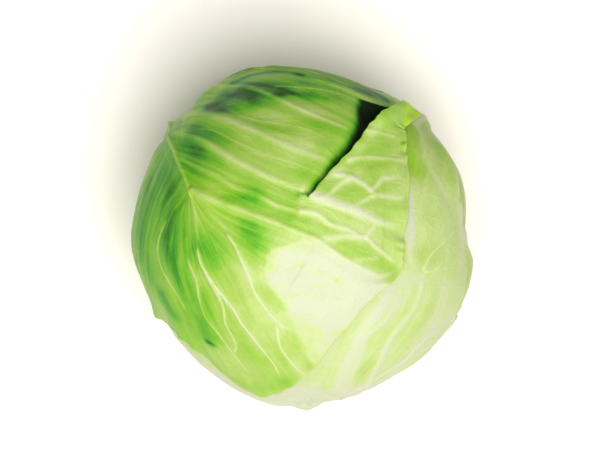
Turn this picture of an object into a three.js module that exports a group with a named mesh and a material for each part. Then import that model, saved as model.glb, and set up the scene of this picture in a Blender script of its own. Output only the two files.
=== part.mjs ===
// A green cabbage head, smooth leaved, standing on the cut face of its stalk.
// Millimetres, +Z up along the stalk. The origin is the centre of the cut face.
import * as THREE from "three";

// ---- sizes of the head -------------------------------------------------------
const CENTRE_Z = 78; // height of the widest part above the cut face
const CROWN = 75; // rise of the crown above the widest part
const BELLY = 67; // drop of the underside below the widest part
const MEAN_GIRTH = 84.5; // radius at the widest part, before the flats and bulges
// Radius at the widest part by azimuth, every 20 degrees from +X towards +Y.
const GIRTH = [83.3, 85.6, 86.2, 85.8, 85.2, 86.4, 85, 86.4, 84.4, 84.8, 82.7, 81.3, 82.4, 84.9, 82.7, 82, 85, 87];

// ---- sizes of the leaves -----------------------------------------------------
const BLADE = 1.2; // thickness of a blade
const GAP = 1; // clearance left between one leaf and the next
const TENT_NEAR = 3; // a leaf starts to rise off the one above this far outside its margin
const TENT_FAR = 38; // and is level with it here
const PRESS_FAR = 18; // its ribs and margin are pressed flat up to here
const MIDRIB_HALF = 11; // half width of a midrib at its base
const MIDRIB_HIGH = 6; // how far a midrib stands out at its base
const PRESSED_RIB = 0.25; // share of a midrib that pushes the leaves under it inwards
const RIB_HIGH = 0.8; // side ribs
const MARGIN_LIFT = 1.2; // a free margin stands off this far
const LIFT_REACH = 14; // and the lift dies out this far in

// ---- the tear of the top leaf ---------------------------------------------------
const TEAR_STEP = 3; // the tear runs along this step of the net
const FLAP_LIFT = 8; // the loose side stands up this far at its corner
const TUCK = 4; // degrees the other side reaches under it
const SLIT = 1.2; // degrees of open slit near the end of the tear
const CREST_RISE = 2; // the leaf rises this far before it dips under the flap

// ---- sizes of the stalk and the heart ------------------------------------------
const STALK = [
  [0, 17.5],
  [1, 18.2],
  [6, 18.6],
  [11, 19.6],
  [16, 19.2],
  [22, 17.2],
  [26, 15.5],
]; // height and radius, from the cut face up
const STALK_SIDES = 28;
const FLUTES = 5; // low ridges round the stalk, one for each leaf
const FLUTE = 0.25;
const FLUTE_TOP = 12;
const HEART_FLOOR = 26.6; // the heart sits this high, just clear of the stalk
const HEART_CLEAR = 1.3;
const HEART_SIDES = 40;
const HEART_ROWS = 20;
const FOLDS = 3; // leaf edges that show round the heart
const FOLD_TWIST = 2.2; // turns they make from crown to foot
const FOLD_DEEP = 1.4;

const RAD = Math.PI / 180;
const MM_PER_DEG = MEAN_GIRTH * RAD;
const clamp01 = (x) => Math.min(1, Math.max(0, x));
const smooth = (x) => clamp01(x) ** 2 * (3 - 2 * clamp01(x));

// A place on the head, unrolled flat round the crown: x and y in degrees of arc from it.
const at = (azimuth, fromCrown) => [fromCrown * Math.cos(azimuth * RAD), fromCrown * Math.sin(azimuth * RAD)];

function girth(azimuth) {
  const n = GIRTH.length;
  const s = (((azimuth / 360) % 1) + 1) % 1;
  const i = Math.floor(s * n);
  const f = s * n - i;
  const p = [-1, 0, 1, 2].map((k) => GIRTH[(i + k + n) % n]);
  return cubic(p[0], p[1], p[2], p[3], f);
}

// Catmull-Rom through b and c.
function cubic(a, b, c, d, f) {
  return b + 0.5 * f * (c - a + f * (2 * a - 5 * b + 4 * c - d + f * (3 * (b - c) + d - a)));
}

function along(points, s) {
  const last = points.length - 1;
  const i = Math.min(Math.floor(s), last - 1);
  const pick = (k) => points[Math.min(last, Math.max(0, k))];
  return pick(i).map((_, axis) =>
    cubic(pick(i - 1)[axis], pick(i)[axis], pick(i + 1)[axis], pick(i + 2)[axis], s - i),
  );
}

// The point of a leaf's net at column u and step t.
function place(net, u, t) {
  const last = net.length - 1;
  const i = Math.min(Math.floor(u), last - 1);
  const near = [-1, 0, 1, 2].map((k) => along(net[Math.min(last, Math.max(0, i + k))], t));
  return along(near, 1 + u - i);
}

// A point at height h above the head's own surface.
function onHead([x, y], h) {
  const polar = Math.min(Math.hypot(x, y), 179.9) * RAD;
  const azimuth = Math.atan2(y, x);
  const g = MEAN_GIRTH + (girth(azimuth / RAD) - MEAN_GIRTH) * Math.sin(polar) ** 2;
  const up = polar < Math.PI / 2 ? CROWN : BELLY;
  const r = g * Math.sin(polar);
  const z = up * Math.cos(polar);
  const normal = new THREE.Vector2(r / g ** 2, z / up ** 2).normalize();
  const reach = r + h * normal.x;
  return new THREE.Vector3(reach * Math.cos(azimuth), reach * Math.sin(azimuth), CENTRE_Z + z + h * normal.y);
}

const unit = ([x, y]) => {
  const polar = Math.hypot(x, y) * RAD;
  const azimuth = Math.atan2(y, x);
  return new THREE.Vector3(
    Math.sin(polar) * Math.cos(azimuth),
    Math.sin(polar) * Math.sin(azimuth),
    Math.cos(polar),
  );
};

const arcMm = (a, b) => (unit(a).angleTo(unit(b)) / RAD) * MM_PER_DEG;

// ---- the nets of the leaves ----------------------------------------------------
// Each row is one rib, from the midrib out to the margin. The rows go round the leaf from the right of its base,
// over its tip, to the left of its base.

// The top wrapper leaf. Its midrib comes up at 140 degrees and it lies over the crown.
const LEAF_1 = [
  [at(140, 166), at(134, 166), at(126, 165.5), at(117, 165), at(117, 165), at(117, 165), at(117, 165)],
  [at(140, 144), at(128, 145), at(117, 144), at(107, 142), at(107, 142), at(107, 142), at(107, 142)],
  [at(139.7, 122), at(122, 123), at(108, 115), at(97, 104), at(97, 104), at(97, 104), at(97, 104)],
  [at(139.5, 104), at(115, 103), at(86, 91), at(56, 84), at(56, 84), at(56, 84), at(56, 84)],
  [at(139.3, 97), at(119, 96), at(93, 73), at(57, 61), at(54.5, 59), at(51, 60), at(48, 61)],
  [at(139.2, 91), [-52, 78], [-12, 54], [23, 37.5], [28.5, 37.5], [33.5, 38], [38, 38]],
  [at(138.5, 84), [-42, 53], [-12, 35], [14.5, 26], [22, 26], [31, 28], [38, 29]],
  [at(142.5, 70), [-38, 37], [-15.5, 23], [1.9, 13.7], [12.4, 10.1], [23.5, 6.5], [36, 4.5]],
  [at(147.5, 57.5), [-29, 21.5], [-15.3, 15], [-2, 9.5], [8, 6], [20, 0.5], [34.5, -4]],
  [[-40, 18], [-26.2, 10.3], [-12, 5], [2.7, -0.3], [13, -7], [24.8, -12], [33.5, -11.6]],
  [[-40, 18], [-29, 8], [-17, 0], [-6, -7], [4, -12], [14, -17], [23, -20.4]],
  [[-40, 18], [-30, 7], [-22.5, -2.4], [-17, -14], [-11, -25], [-4.5, -36], [2.6, -49]],
  [[-40, 18], [-37, 3], [-34, -11], [-26, -24], [-19, -36], [-13, -47], [-7, -61]],
  [[-40, 18], [-42, 6], [-42, -10], [-38, -26], [-33, -39], [-29, -51], [-25, -66]],
  [[-40, 18], [-49, 10], [-54, -4], [-55, -16], [-52, -26], [-49, -36], [-47, -46]],
  [at(147.5, 57.5), [-56, 20], [-62, 5], [-66, -10], [-66, -22], [-65, -32], at(213, 76)],
  [at(142.5, 70), [-65, 31], [-72, 12], [-77, -6], [-79, -20], [-80, -31], at(207, 88)],
  [at(138.5, 84), at(150, 84), at(162, 87), at(174, 90), at(184, 93), at(194, 96), at(203, 98)],
  [at(139.2, 91), at(150, 93), at(161, 97), at(172, 100), at(182, 103), at(191, 106), at(199, 108)],
  [at(139.3, 97), at(149, 100), at(159, 104), at(169, 108), at(178, 111), at(187, 114), at(194.5, 117)],
  [at(139.5, 104), at(148, 107), at(157, 111), at(166, 115), at(174, 119), at(182, 123), at(189, 126)],
  [at(139.7, 122), at(147, 123), at(154, 126), at(161, 129), at(168, 132), at(175, 135), at(181, 138)],
  [at(140, 144), at(145, 145), at(151, 146), at(157, 147), at(162, 148), at(167, 149), at(172, 150)],
  [at(140, 166), at(144, 166), at(148, 166), at(152, 165.8), at(156, 165.5), at(160, 165.2), at(164, 165)],
];

// The loose side of its tear, from the corner lobe to the end of the tear. Steps 3 to 6 are the flap itself.
const FLAP = [
  [at(139.5, 104), at(115, 100), at(86, 82), at(55.5, 73), at(53, 75.5), at(49.5, 78.5), at(45.5, 82)],
  [at(139.3, 97), at(119, 96), at(93, 72), at(57, 57), at(54.5, 58), at(51, 59.5), at(48, 61)],
  LEAF_1[5],
  LEAF_1[6],
  LEAF_1[7],
];

// The second wrapper leaf. Its ribs fan from the lower edge of the head and it covers the right side.
const LEAF_2 = [
  [at(272, 166.2), at(266, 166.2), at(260, 166), at(253, 165.8), at(245, 165.4)],
  [at(272, 146), at(263, 146), at(254, 145), at(244, 143), at(235, 141)],
  [at(272, 126), at(260, 124), at(248, 121), at(235, 118), at(222, 115)],
  [at(272, 105), at(258, 101), at(244, 97), at(230, 93), at(217, 90)],
  [[3, -86], [-20, -78], [-40, -62], [-58, -42], [-68, -22]],
  [[3, -86], [-16, -68], [-32, -44], [-46, -18], [-54, 4]],
  [[3, -86], [-7, -62], [-14, -34], [-22, -6], [-28, 22]],
  [[3, -86], [3, -58], [4, -30], [3, 2], [-2, 38]],
  [[3, -86], [11, -58], [20, -30], [26, 4], [30, 44]],
  [[3, -86], [17, -58], [31, -30], [43, 2], [56, 36]],
  [[3, -86], [23, -58], [39, -34], [52, -8], [71, 10]],
  [[3, -86], [28, -60], [46, -42], [64, -29], at(348, 87)],
  [[3, -86], [30, -62], [46, -50], [62, -45], at(333, 91)],
  [at(272, 105), at(287, 101), at(303, 98), at(320, 98), at(334, 100)],
  [at(272, 126), at(284, 125), at(297, 122), at(310, 119), at(324, 116)],
  [at(272, 146), at(282, 146), at(292, 145), at(302, 143), at(311, 141)],
  [at(272, 166.2), at(279, 166.2), at(286, 166), at(292, 165.8), at(299, 165.4)],
];

// The rest of the wrapper leaves, drawn with the base at azimuth 0; x points from the crown towards the base.
const WRAPPER = [
  [at(0, 166), at(-7, 166), at(-13, 165.8), at(-20, 165.6), at(-27, 165.2)],
  [at(0, 145), at(-10, 145), at(-20, 144), at(-30, 142), at(-39, 140)],
  [at(0, 122), at(-14, 121), at(-29, 118), at(-44, 115), at(-57, 112)],
  [at(0, 98), at(-17, 93), at(-35, 88), at(-53, 86), at(-70, 87)],
  [[76, 0], [66, -22], [50, -46], [29, -64], [3, -74]],
  [[76, 0], [58, -20], [36, -40], [9, -54], [-21, -55]],
  [[76, 0], [50, -12], [23, -23], [-7, -31], [-37, -30]],
  [[76, 0], [48, 0], [18, 1], [-13, 1], [-44, 2]],
  [[76, 0], [50, 12], [23, 24], [-7, 32], [-36, 33]],
  [[76, 0], [58, 20], [36, 41], [10, 55], [-19, 57]],
  [[76, 0], [66, 22], [51, 46], [31, 64], [6, 75]],
  [at(0, 98), at(17, 93), at(35, 88), at(53, 86), at(71, 86)],
  [at(0, 122), at(14, 121), at(29, 118), at(44, 115), at(58, 112)],
  [at(0, 145), at(10, 145), at(20, 144), at(30, 142), at(40, 140)],
  [at(0, 166), at(7, 166), at(13, 165.8), at(20, 165.6), at(27, 165.2)],
];

const turned = (net, azimuth, stretch) =>
  net.map((rib) =>
    rib.map(([x, y]) => {
      const a = azimuth * RAD;
      const side = y * stretch;
      return [x * Math.cos(a) - side * Math.sin(a), x * Math.sin(a) + side * Math.cos(a)];
    }),
  );

// Outermost first. facet is about how long its facets are; tear is the columns of its mouth and of its end,
// and flap the net of its loose side.
const LEAVES = [
  { name: "leaf_1", net: LEAF_1, facet: 10.5, colour: 0x8fc34b, tear: [3, 7], flap: FLAP },
  { name: "leaf_2", net: LEAF_2, facet: 11.5, colour: 0xcfe09a },
  { name: "leaf_3", net: turned(WRAPPER, 45, 1), facet: 12, colour: 0xa5cb62 },
  { name: "leaf_4", net: turned(WRAPPER, 184, 0.97), facet: 12, colour: 0xaed077 },
  { name: "leaf_5", net: turned(WRAPPER, 318, 1.02), facet: 12, colour: 0xbdd98a },
];

// The places along column u, about a facet apart, from step `from` to step `to`.
function steps(net, u, from, to, facet) {
  let length = 0;
  for (let t = from; t < to - 1e-6; t += 0.25) length += arcMm(place(net, u, t), place(net, u, t + 0.25));
  const count = Math.max(2, Math.ceil(length / facet));
  return Array.from({ length: count + 1 }, (_, i) => from + ((to - from) * i) / count);
}

// The columns of a net, about a facet apart at their widest. Both sides of the midrib get the same ones, as they
// share its points.
function columnsOf(net, facet) {
  const last = net.length - 1;
  const wide = (i) => {
    let most = 0;
    for (let t = 0; t <= net[0].length - 1; t += 0.5) most = Math.max(most, arcMm(place(net, i, t), place(net, i + 1, t)));
    return most;
  };
  const columns = [0];
  for (let i = 0; i < last; i++) {
    const parts = Math.max(2, Math.ceil(Math.max(wide(i), wide(last - 1 - i)) / facet));
    for (let k = 1; k <= parts; k++) columns.push(i + k / parts);
  }
  return columns;
}

// The margin and the midrib of a leaf as closely spaced directions, for measuring distances.
for (const leaf of LEAVES) {
  const { net, tear } = leaf;
  const last = net.length - 1;
  leaf.reach = net[0].length - 1;
  leaf.columns = columnsOf(net, leaf.facet);
  // Where column u meets the margin. Right of the tear the leaf ends on the tear's own step.
  const end = (u) => (tear && u < tear[0] ? TEAR_STEP : leaf.reach);
  leaf.polygon = [];
  for (let u = 0; u <= last; u += 0.125)
    leaf.polygon.push(tear && u >= tear[0] && u < tear[1] ? place(leaf.flap, u - tear[0], leaf.reach) : place(net, u, end(u)));
  const base = [];
  for (let k = 0; k <= 8; k++) base.push(place(net, last, (leaf.reach * (8 - k)) / 8));
  for (let k = 1; k <= 8; k++) base.push(place(net, 0, (end(0) * k) / 8));
  leaf.polygon.push(...base);
  leaf.margin = leaf.polygon.map(unit);
  leaf.spine = [];
  for (let u = 0; u <= last / 2; u += 0.25) leaf.spine.push(unit(place(net, u, 0)));
}

function inside(polygon, [x, y]) {
  let odd = false;
  for (let i = 0, j = polygon.length - 1; i < polygon.length; j = i++) {
    const [xi, yi] = polygon[i];
    const [xj, yj] = polygon[j];
    if (yi > y !== yj > y && x < ((xj - xi) * (y - yi)) / (yj - yi) + xi) odd = !odd;
  }
  return odd;
}

// Millimetres from the margin of a leaf, negative outside it.
function fromMargin(leaf, p) {
  const here = unit(p);
  const most = leaf.margin.reduce((best, m) => Math.max(best, m.dot(here)), -1);
  const mm = (Math.acos(Math.min(1, most)) / RAD) * MM_PER_DEG;
  return inside(leaf.polygon, p) ? mm : -mm;
}

// 1 where a leaf lies, falling to 0 a little way outside it.
const cover = (leaf, p) => smooth((fromMargin(leaf, p) + TENT_FAR) / (TENT_FAR - TENT_NEAR));
const press = (leaf, p) => smooth((fromMargin(leaf, p) + PRESS_FAR) / (PRESS_FAR - TENT_NEAR));

// Height of the midrib over the blade.
function midrib(leaf, p) {
  const here = unit(p);
  let nearest = Infinity;
  let where = 0;
  leaf.spine.forEach((s, i) => {
    const d = s.angleTo(here);
    if (d < nearest) {
      nearest = d;
      where = i / (leaf.spine.length - 1);
    }
  });
  const fade = 1 - 0.85 * smooth(where * 1.25);
  const half = MIDRIB_HALF * (0.45 + 0.55 * fade);
  const mm = (nearest / RAD) * MM_PER_DEG;
  return MIDRIB_HIGH * fade * clamp01(1 - (mm / half) ** 2);
}

// Height of the outer face of a leaf and its thickness, at place p of its net.
function heights(index, p, u, t) {
  const leaf = LEAVES[index];
  let level = 0;
  let free = 1;
  for (const above of LEAVES.slice(0, index)) {
    const c = cover(above, p);
    level -= c * (BLADE + GAP + PRESSED_RIB * midrib(above, p));
    free *= 1 - press(above, p);
  }
  const offRib = Math.abs(u - Math.round(u));
  const crest = RIB_HIGH * (1 - 2 * offRib) * smooth(t * 1.5) * (1 - (0.6 * t) / leaf.reach);
  const edge = MARGIN_LIFT * smooth(1 - fromMargin(leaf, p) / LIFT_REACH) * (1 + Math.sin(u * 4.1 + index));
  const outer = level + free * (midrib(leaf, p) + crest + edge);
  return { outer, inner: level + free * edge - BLADE };
}

function closedLeaf(index) {
  const leaf = LEAVES[index];
  const { net, tear, columns, reach, facet } = leaf;
  const points = [];
  const faces = [];
  const seen = new Map();
  const vertex = ({ p, outer, inner }) => {
    const key = [...p, outer].map((v) => Math.round(v * 1e4)).join();
    if (!seen.has(key)) {
      seen.set(key, points.length);
      points.push({ out: onHead(p, outer), in: onHead(p, inner) });
    }
    return seen.get(key);
  };
  // A strip of facets between each column and the next, which may have a different number of steps.
  const sheet = (us, stepsAt, look) => {
    const ids = us.map((u) => stepsAt(u).map((t) => ({ t, id: vertex(look(u, t)) })));
    for (let k = 0; k + 1 < ids.length; k++) {
      const [left, right] = [ids[k], ids[k + 1]];
      let i = 0;
      let j = 0;
      while (i + 1 < left.length || j + 1 < right.length) {
        const goLeft = j + 1 >= right.length || (i + 1 < left.length && left[i + 1].t <= right[j + 1].t);
        const next = goLeft ? left[i + 1] : right[j + 1];
        const face = [left[i].id, right[j].id, next.id];
        if (new Set(face).size === 3) faces.push(face);
        if (goLeft) i++;
        else j++;
      }
    }
  };
  const plain = (u, t) => {
    const p = place(net, u, t);
    return { p, ...heights(index, p, u, t) };
  };
  if (!tear) {
    sheet(columns, (u) => steps(net, u, 0, reach, facet), plain);
    return closed(points, faces);
  }
  const [mouth, tip] = tear;
  const openness = (u) => smooth((tip - u) / (tip - mouth));
  // The side that dips under the flap.
  const tucked = (u, t) => {
    const near = clamp01(t / TEAR_STEP) ** 4;
    const open = u < mouth ? 0 : clamp01((tip - u) / (tip - mouth));
    const slit = SLIT * smooth(open * 8) * (1 - smooth((open - 0.2) / 0.3));
    const slide = (TUCK * smooth((open - 0.3) / 0.4) - slit) * near;
    const [x, y] = place(net, u, t);
    const [bx, by] = place(net, u, Math.max(0, t - 0.2));
    const length = Math.hypot(x - bx, y - by) || 1;
    const p = t > 0.2 ? [x + (slide * (x - bx)) / length, y + (slide * (y - by)) / length] : [x, y];
    const h = heights(index, p, u, t);
    const rise = CREST_RISE * openness(u) * smooth(t / 2) * (1 - smooth(t - 2));
    const flat = openness(u) * smooth(t - 2);
    const outer = h.outer * (1 - flat) + rise;
    return { p, outer, inner: outer - (h.outer - h.inner) };
  };
  // The loose side, standing up along the tear.
  const loose = (u, t) => {
    const p = place(leaf.flap, u - mouth, t);
    const h = heights(index, p, u, t);
    const up = FLAP_LIFT * openness(u) * (1 - 0.7 * smooth((t - TEAR_STEP) / 3));
    return { p, outer: h.outer + up, inner: h.inner + up };
  };
  const near = (u) => steps(net, u, 0, TEAR_STEP, facet);
  const far = (u) => steps(net, u, TEAR_STEP, reach, facet);
  const across = (u) => (u === tip ? [...near(u), ...far(u).slice(1)] : steps(net, u, 0, reach, facet));
  sheet(columns.filter((u) => u <= tip), near, tucked);
  sheet(columns.filter((u) => u >= mouth && u <= tip), far, loose);
  sheet(columns.filter((u) => u >= tip), across, plain);
  return closed(points, faces);
}

// Closes a sheet of paired points into a solid: the outer face, the inner face and a wall along every free edge.
function closed(points, faces) {
  const n = points.length;
  const position = [];
  for (const p of points) position.push(p.out.x, p.out.y, p.out.z);
  for (const p of points) position.push(p.in.x, p.in.y, p.in.z);
  const index = [];
  const edges = new Set();
  for (const [a, b, c] of faces) {
    index.push(a, b, c, a + n, c + n, b + n);
    for (const [p, q] of [
      [a, b],
      [b, c],
      [c, a],
    ])
      edges.add(p + "," + q);
  }
  for (const edge of edges) {
    const [p, q] = edge.split(",").map(Number);
    if (!edges.has(q + "," + p)) index.push(p, p + n, q, q, p + n, q + n);
  }
  const geometry = new THREE.BufferGeometry();
  geometry.setAttribute("position", new THREE.Float32BufferAttribute(position, 3));
  geometry.setIndex(index);
  geometry.computeVertexNormals();
  return geometry;
}

// ---- the heart: tight inner leaves that no longer come apart ----------------------
function heartGeometry() {
  const depth = (p) => LEAVES.reduce((h, leaf) => h - cover(leaf, p) * (BLADE + GAP + PRESSED_RIB * midrib(leaf, p)), -HEART_CLEAR);
  const geometry = new THREE.SphereGeometry(1, HEART_SIDES, HEART_ROWS).rotateX(Math.PI / 2);
  const position = geometry.getAttribute("position");
  for (let i = 0; i < position.count; i++) {
    const v = new THREE.Vector3().fromBufferAttribute(position, i);
    const azimuth = Math.round((360 + Math.atan2(v.y, v.x) / RAD) * 1000) / 1000;
    const polar = Math.round((Math.acos(v.z) / RAD) * 1000) / 1000;
    const p = at(azimuth, polar);
    // Edges of the packed leaves run round the heart as low steps that die out at the crown and the foot.
    const turn = (FOLDS * (azimuth % 360)) / 360 + (FOLD_TWIST * polar) / 180;
    const fold = FOLD_DEEP * (turn % 1) * Math.sin(polar * RAD);
    onHead(p, depth(p) - fold).toArray(position.array, 3 * i);
    if (position.getZ(i) < HEART_FLOOR) position.setZ(i, HEART_FLOOR);
  }
  geometry.computeVertexNormals();
  return geometry;
}

// ---- the stalk: cut square at the foot, slightly fluted -----------------------------
function stalkGeometry() {
  const top = STALK[STALK.length - 1][0];
  const profile = [[0, 0], ...STALK, [top, 0]].map(([z, r]) => new THREE.Vector2(r, z));
  const geometry = new THREE.LatheGeometry(profile, STALK_SIDES).rotateX(Math.PI / 2);
  const position = geometry.getAttribute("position");
  for (let i = 0; i < position.count; i++) {
    const v = new THREE.Vector3().fromBufferAttribute(position, i);
    const r = Math.hypot(v.x, v.y);
    if (r < 1 || v.z < 0.5 || v.z > FLUTE_TOP) continue;
    const scale = 1 + (FLUTE * Math.cos(FLUTES * Math.atan2(v.y, v.x))) / r;
    position.setXY(i, v.x * scale, v.y * scale);
  }
  geometry.computeVertexNormals();
  return geometry;
}

function mesh(name, geometry, color, roughness) {
  const made = new THREE.Mesh(geometry, new THREE.MeshStandardMaterial({ color, roughness, metalness: 0 }));
  made.name = name;
  return made;
}

const cabbage = new THREE.Group();
cabbage.name = "cabbage";
LEAVES.forEach((leaf, i) => cabbage.add(mesh(leaf.name, closedLeaf(i), leaf.colour, 0.45)));
cabbage.add(mesh("heart", heartGeometry(), 0xdfe9b0, 0.5));
cabbage.add(mesh("stalk", stalkGeometry(), 0xe6e6c0, 0.6));
export default cabbage;
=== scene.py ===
import bmesh
import bpy
import numpy as np
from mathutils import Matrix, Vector, noise


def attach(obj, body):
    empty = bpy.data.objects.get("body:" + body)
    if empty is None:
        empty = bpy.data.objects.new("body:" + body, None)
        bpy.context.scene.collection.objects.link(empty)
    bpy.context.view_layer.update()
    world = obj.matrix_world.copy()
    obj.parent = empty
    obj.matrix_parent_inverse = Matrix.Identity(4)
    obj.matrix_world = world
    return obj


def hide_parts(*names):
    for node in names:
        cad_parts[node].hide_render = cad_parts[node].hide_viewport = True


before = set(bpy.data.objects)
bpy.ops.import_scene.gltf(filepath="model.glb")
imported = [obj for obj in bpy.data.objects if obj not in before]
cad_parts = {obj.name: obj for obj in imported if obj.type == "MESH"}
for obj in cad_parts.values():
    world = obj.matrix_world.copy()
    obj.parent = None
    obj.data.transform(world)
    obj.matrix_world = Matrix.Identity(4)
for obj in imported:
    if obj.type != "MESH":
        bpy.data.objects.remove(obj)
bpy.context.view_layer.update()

# ---- leaf_1 ---------------------------
# The outermost wrapper leaf: a waxy green blade about a millimetre thick, grown over the crown. Its midrib
# climbs the back left of the head from the stalk, its side ribs fan out over the top, and its free end is
# torn: the loose side stands up along the tear and the other side dips under it.

MM = 0.001  # sizes are in millimetres, and places on the head in degrees of arc from its crown
CENTRE_Z = 78  # height of the widest part above the cut of the stalk
CROWN = 75  # from the widest part up to the top of the head
BELLY = 67  # and down to its foot
MEAN_GIRTH = 84.5
# Radius at the widest part by azimuth, every 20 degrees from +X towards +Y.
GIRTH = np.array(
    [83.3, 85.6, 86.2, 85.8, 85.2, 86.4, 85, 86.4, 84.4, 84.8, 82.7, 81.3, 82.4, 84.9, 82.7, 82, 85, 87]
)
BLADE = 1.2  # a leaf pushes those below it inwards by this and the gap
GAP = 1
TENT_NEAR = 3  # the push is full up to here outside its margin, and gone at TENT_FAR
TENT_FAR = 38
PRESS_FAR = 18  # and up to here it presses their relief flat
MIDRIB_HALF = 11
MIDRIB_HIGH = 6
MIDRIB_LOST = 0.85  # share of its height that is lost by its end
MIDRIB_SOON = 1.25  # and how soon
PRESSED_RIB = 0.25  # share of it that shows in the leaf below
HOLD = 1.2  # longest tangent of a net's curves over their chord


def at(azimuth, from_crown):
    """A place on the head, unrolled flat round the crown: x and y in degrees of arc from it."""
    a = np.radians(azimuth)
    return [from_crown * np.cos(a), from_crown * np.sin(a)]


def clamp01(x):
    return np.clip(x, 0, 1)


def smooth(x):
    return clamp01(x) ** 2 * (3 - 2 * clamp01(x))


def cubic(a, b, c, d, f):
    """Catmull-Rom through b and c."""
    return b + 0.5 * f * (c - a + f * (2 * a - 5 * b + 4 * c - d + f * (3 * (b - c) + d - a)))


def bend(a, b, c, d, f):
    """A curve from b to c like cubic's, with tangents held short so that it never doubles back."""
    chord = np.linalg.norm(c - b, axis=-1, keepdims=True)

    def held(tangent):
        size = np.linalg.norm(tangent, axis=-1, keepdims=True)
        return tangent * np.minimum(1, HOLD * chord / np.maximum(size, 1e-9))

    leave, arrive = held((c - a) / 2), held((d - b) / 2)
    rise = f * f * (3 - 2 * f)
    return b + (c - b) * rise + leave * f * (1 - f) ** 2 - arrive * f * f * (1 - f)


def place(net, u, t):
    """The points of a leaf's net at columns u and steps t."""
    u, t = np.broadcast_arrays(np.asarray(u, float), np.asarray(t, float))
    columns, steps = net.shape[:2]
    i = np.clip(np.floor(u).astype(int), 0, columns - 2)
    j = np.clip(np.floor(t).astype(int), 0, steps - 2)
    f = (u - i)[..., None]
    g = (t - j)[..., None]

    def rib(k):
        column = np.clip(i + k, 0, columns - 1)
        return bend(*(net[column, np.clip(j + m, 0, steps - 1)] for m in (-1, 0, 1, 2)), g)

    return bend(*(rib(k) for k in (-1, 0, 1, 2)), f)


def girth(azimuth):
    s = np.mod(azimuth / 360, 1) * len(GIRTH)
    i = np.floor(s).astype(int)
    return cubic(*(GIRTH[(i + k) % len(GIRTH)] for k in (-1, 0, 1, 2)), s - i)


def on_head(p, h):
    """Points at height h above the head's own surface, in millimetres."""
    polar = np.radians(np.minimum(np.hypot(p[:, 0], p[:, 1]), 179.9))
    azimuth = np.arctan2(p[:, 1], p[:, 0])
    g = MEAN_GIRTH + (girth(np.degrees(azimuth)) - MEAN_GIRTH) * np.sin(polar) ** 2
    up = np.where(polar < np.pi / 2, CROWN, BELLY)
    r = g * np.sin(polar)
    z = up * np.cos(polar)
    out, rise = r / g**2, z / up**2
    size = np.hypot(out, rise)
    reach = r + h * out / size
    x, y = reach * np.cos(azimuth), reach * np.sin(azimuth)
    return np.column_stack([x, y, CENTRE_Z + z + h * rise / size])


def unit(p):
    polar = np.radians(np.hypot(p[:, 0], p[:, 1]))
    azimuth = np.arctan2(p[:, 1], p[:, 0])
    return np.column_stack([np.sin(polar) * np.cos(azimuth), np.sin(polar) * np.sin(azimuth), np.cos(polar)])


PAIRS_AT_ONCE = 3000000  # bounds the memory that a search takes


def nearest(line, p):
    """How far places p are from a line of places, in millimetres, where along it the nearest is, and on
    which side of it they lie."""
    a = unit(line[:-1])
    step = unit(line[1:]) - a
    length = np.maximum((step**2).sum(1), 1e-12)
    flat = line[1:] - line[:-1]
    far, where, side = np.empty(len(p)), np.empty(len(p)), np.empty(len(p))
    for part in np.array_split(np.arange(len(p)), 1 + len(p) * len(line) // PAIRS_AT_ONCE):
        q = unit(p[part])
        run = q @ step.T - (a * step).sum(1)
        s = clamp01(run / length)
        apart = 2 - 2 * q @ a.T - 2 * s * run + s**2 * length
        k = apart.argmin(1)
        rows = np.arange(len(part))
        far[part] = 2 * MEAN_GIRTH * np.arcsin(np.sqrt(clamp01(apart[rows, k] / 4)))
        where[part] = k + s[rows, k]
        away = p[part] - line[k]
        side[part] = np.where(flat[k, 0] * away[:, 1] - flat[k, 1] * away[:, 0] < 0, -1, 1)
    return far, where, side


def inside(outline, p):
    odd = np.zeros(len(p), bool)
    for (x0, y0), (x1, y1) in zip(np.roll(outline, 1, 0), outline):
        if y0 != y1:
            crosses = (y0 > p[:, 1]) != (y1 > p[:, 1])
            odd ^= crosses & (p[:, 0] < (x0 - x1) * (p[:, 1] - y1) / (y0 - y1) + x1)
    return odd


def depth_in(outline, p):
    """Millimetres in from a closed outline, negative outside it."""
    far = nearest(np.concatenate([outline, outline[:1]]), p)[0]
    return np.where(inside(outline, p), far, -far)


def even(first, last, parts):
    return np.linspace(first, last, round((last - first) * parts) + 1)


EDGE_PARTS = 12
FOOT_PARTS = 8
TEAR = (3, 7)  # columns of the tear's mouth and tip in the top leaf
TEAR_STEP = 3  # the step that it runs along


class Blade:
    """A leaf as it lies on the head: its net of ribs, its margin and its midrib."""

    def __init__(self, net, tear=None, flap=None):
        self.net = net
        self.last = len(net) - 1
        self.reach = net.shape[1] - 1
        u = even(0, self.last, EDGE_PARTS)
        edge = place(net, u, self.reach)
        end = self.reach
        if tear:
            end = TEAR_STEP
            edge = np.where((u < tear[0])[:, None], place(net, u, TEAR_STEP), edge)
            loose = (u >= tear[0]) & (u < tear[1])
            edge[loose] = place(flap, u[loose] - tear[0], self.reach)
        foot = even(0, 1, FOOT_PARTS)
        self.margin = np.concatenate(
            [edge, place(net, self.last, self.reach * (1 - foot)), place(net, 0, end * foot[1:])]
        )
        self.spine = place(net, np.linspace(0, self.last / 2, 2 * self.last + 1), 0)

    def midrib(self, p):
        """Height of the midrib over the blade."""
        far, where, _ = nearest(self.spine, p)
        fade = 1 - MIDRIB_LOST * smooth(MIDRIB_SOON * where / (len(self.spine) - 1))
        return MIDRIB_HIGH * fade * clamp01(1 - (far / (MIDRIB_HALF * (0.45 + 0.55 * fade))) ** 2)


def drawn(path, fine=6):
    """A smooth line through the places of a rib."""
    path = np.array(path, float)
    s = np.linspace(0, len(path) - 1, (len(path) - 1) * fine + 1)
    i = np.minimum(np.floor(s).astype(int), len(path) - 2)
    pick = [path[np.clip(i + k, 0, len(path) - 1)] for k in (-1, 0, 1, 2)]
    return cubic(*pick, (s - i)[:, None])


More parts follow.
